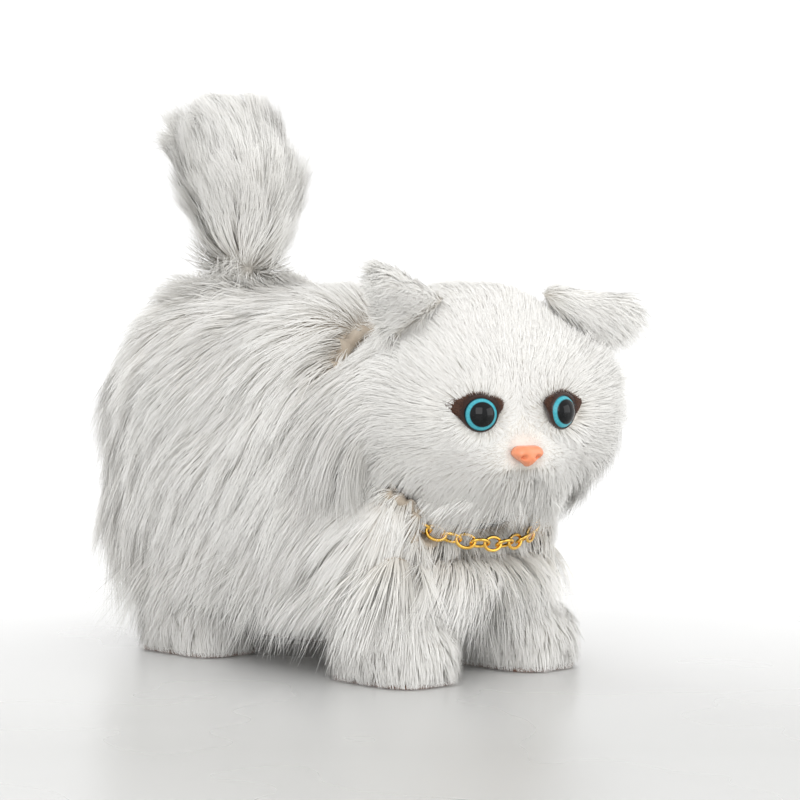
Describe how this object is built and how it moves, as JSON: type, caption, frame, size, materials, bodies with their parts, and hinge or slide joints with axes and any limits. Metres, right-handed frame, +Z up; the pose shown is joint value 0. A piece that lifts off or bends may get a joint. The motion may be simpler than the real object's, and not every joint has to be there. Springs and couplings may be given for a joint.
{
  "type": "interactive plush pet",
  "caption": "Long-haired plush kitten toy with a walking gear train, turning and nodding head, wagging tail, collar chain and battery bay.",
  "frame": {"origin": "on the floor, below the middle of the box around the kitten", "axes": "+Z up, -Y the way the kitten faces, +X towards its left side"},
  "size_m": [0.1038, 0.2107, 0.2029],
  "materials": {
    "white_pile": "long pile",
    "polyester_wadding": "loose fibre",
    "backing_cloth": "knitted",
    "grey_plastic": "moulded",
    "zinc_steel": "plated",
    "polished_steel": "polished",
    "spring_steel": "blackened",
    "nickel_steel": "plated",
    "sheet_brass": "sheared",
    "green_board": "lacquered",
    "black_plastic": "moulded",
    "cell_sleeve": "printed sleeve",
    "gold_plate": "polished",
    "white_nylon": "moulded",
    "eye_acrylic": "polished",
    "pink_vinyl": "moulded",
    "brown_suede": "napped"
  },
  "bodies": {
    "torso": {"torso_plush": "white_pile", "torso_wadding": "polyester_wadding", "belly_skin": "backing_cloth", "neck_lining": "backing_cloth", "housing_base": "grey_plastic", "housing_cover": "grey_plastic", "housing_screws": "zinc_steel", "front_axle": "polished_steel", "rear_axle": "polished_steel", "axle_clips": "spring_steel", "motor": "nickel_steel", "gear_plate_inner": "sheet_brass", "gear_plate_outer": "sheet_brass", "gear_pins": "polished_steel", "circuit_board": "green_board", "board_parts": "black_plastic", "speaker": "black_plastic", "batteries": "cell_sleeve", "battery_contacts": "nickel_steel", "switch_body": "black_plastic", "neck_post": "grey_plastic", "tail_pivot_pin": "polished_steel", "collar_chain": "gold_plate", "collar_clasp": "gold_plate"},
    "motor_rotor": {"motor_pinion": "white_nylon"},
    "idler_one": {"gear_first": "white_nylon"},
    "idler_two": {"gear_second": "white_nylon"},
    "crank": {"crank_gear": "white_nylon", "crank_shaft": "polished_steel", "crank_arms": "grey_plastic"},
    "front_left_leg": {"leg_front_left": "grey_plastic", "paw_front_left": "white_pile", "sole_front_left": "brown_suede"},
    "front_right_leg": {"leg_front_right": "grey_plastic", "paw_front_right": "white_pile", "sole_front_right": "brown_suede"},
    "rear_left_leg": {"leg_rear_left": "grey_plastic", "paw_rear_left": "white_pile", "sole_rear_left": "brown_suede"},
    "rear_right_leg": {"leg_rear_right": "grey_plastic", "paw_rear_right": "white_pile", "sole_rear_right": "brown_suede"},
    "left_rod": {"tie_rod_left": "grey_plastic"},
    "right_rod": {"tie_rod_right": "grey_plastic"},
    "neck": {"neck_swivel": "grey_plastic"},
    "head": {"head_frame": "grey_plastic", "head_wadding": "polyester_wadding", "head_plush": "white_pile", "ear_left": "white_pile", "ear_right": "white_pile", "eye_left": "eye_acrylic", "eye_right": "eye_acrylic", "nose": "pink_vinyl", "shank_washers": "white_nylon"},
    "tail": {"tail_arm": "grey_plastic", "tail_stem": "spring_steel", "tail_plush": "white_pile"},
    "switch": {"switch_knob": "black_plastic"},
    "door": {"battery_door": "grey_plastic"},
    "door_screw": {"door_screw": "zinc_steel"}
  },
  "joints": [
    {"name": "head_turn", "type": "hinge", "parent": "torso", "child": "neck", "pos_m": [0, -0.063, 0.1], "axis": [0, 0, 1], "range_deg": [-18, 18]},
    {"name": "head_nod", "type": "hinge", "parent": "neck", "child": "head", "pos_m": [0, -0.063, 0.1], "axis": [0.9563, -0.2924, 0], "range_deg": [-7, 7]},
    {"name": "tail_wag", "type": "hinge", "parent": "torso", "child": "tail", "pos_m": [0, 0.062, 0.124], "axis": [0, 1, 0], "range_deg": [-12, 12]},
    {"name": "front_left_swing", "type": "hinge", "parent": "torso", "child": "front_left_leg", "pos_m": [0.03, -0.0535, 0.048], "axis": [1, 0, 0], "range_deg": [-8, 8]},
    {"name": "rear_left_swing", "type": "hinge", "parent": "torso", "child": "rear_left_leg", "pos_m": [0.03, 0.0535, 0.048], "axis": [1, 0, 0], "range_deg": [-8, 8]},
    {"name": "front_right_swing", "type": "hinge", "parent": "torso", "child": "front_right_leg", "pos_m": [-0.03, -0.0535, 0.048], "axis": [1, 0, 0], "range_deg": [-8, 8]},
    {"name": "rear_right_swing", "type": "hinge", "parent": "torso", "child": "rear_right_leg", "pos_m": [-0.03, 0.0535, 0.048], "axis": [1, 0, 0], "range_deg": [-8, 8]},
    {"name": "left_rod_pin", "type": "hinge", "parent": "front_left_leg", "child": "left_rod", "pos_m": [0.0333, -0.0535, 0.04], "axis": [1, 0, 0], "range_deg": [-8, 8]},
    {"name": "right_rod_pin", "type": "hinge", "parent": "front_right_leg", "child": "right_rod", "pos_m": [-0.0333, -0.0535, 0.04], "axis": [1, 0, 0], "range_deg": [-8, 8]},
    {"name": "crank_turn", "type": "hinge", "parent": "torso", "child": "crank", "pos_m": [0, 0.0535, 0.068], "axis": [1, 0, 0], "continuous": true},
    {"name": "idler_two_turn", "type": "hinge", "parent": "torso", "child": "idler_two", "pos_m": [0.0125, 0.04537, 0.07613], "axis": [1, 0, 0], "continuous": true},
    {"name": "idler_one_turn", "type": "hinge", "parent": "torso", "child": "idler_one", "pos_m": [0.0155, 0.03387, 0.07613], "axis": [1, 0, 0], "continuous": true},
    {"name": "motor_turn", "type": "hinge", "parent": "torso", "child": "motor_rotor", "pos_m": [0.0155, 0.02237, 0.07613], "axis": [1, 0, 0], "continuous": true},
    {"name": "switch_slide", "type": "slide", "parent": "torso", "child": "switch", "axis": [0, 1, 0], "range_m": [-0.003, 0.003]},
    {"name": "door_out", "type": "slide", "parent": "torso", "child": "door", "axis": [0, 0, -1], "range_m": [0, 0.012]},
    {"name": "door_screw_out", "type": "slide", "parent": "door", "child": "door_screw", "axis": [0, 0, -1], "range_m": [0, 0.006]}
  ],
  "couplings": [
    {"joint": "rear_left_swing", "follows": "front_left_swing", "ratio": 1},
    {"joint": "front_right_swing", "follows": "front_left_swing", "ratio": -1},
    {"joint": "rear_right_swing", "follows": "front_left_swing", "ratio": -1},
    {"joint": "left_rod_pin", "follows": "front_left_swing", "ratio": -1},
    {"joint": "right_rod_pin", "follows": "front_left_swing", "ratio": 1},
    {"joint": "idler_two_turn", "follows": "crank_turn", "ratio": -2.8333},
    {"joint": "idler_one_turn", "follows": "crank_turn", "ratio": 8.0278},
    {"joint": "motor_turn", "follows": "crank_turn", "ratio": -22.745}
  ]
}
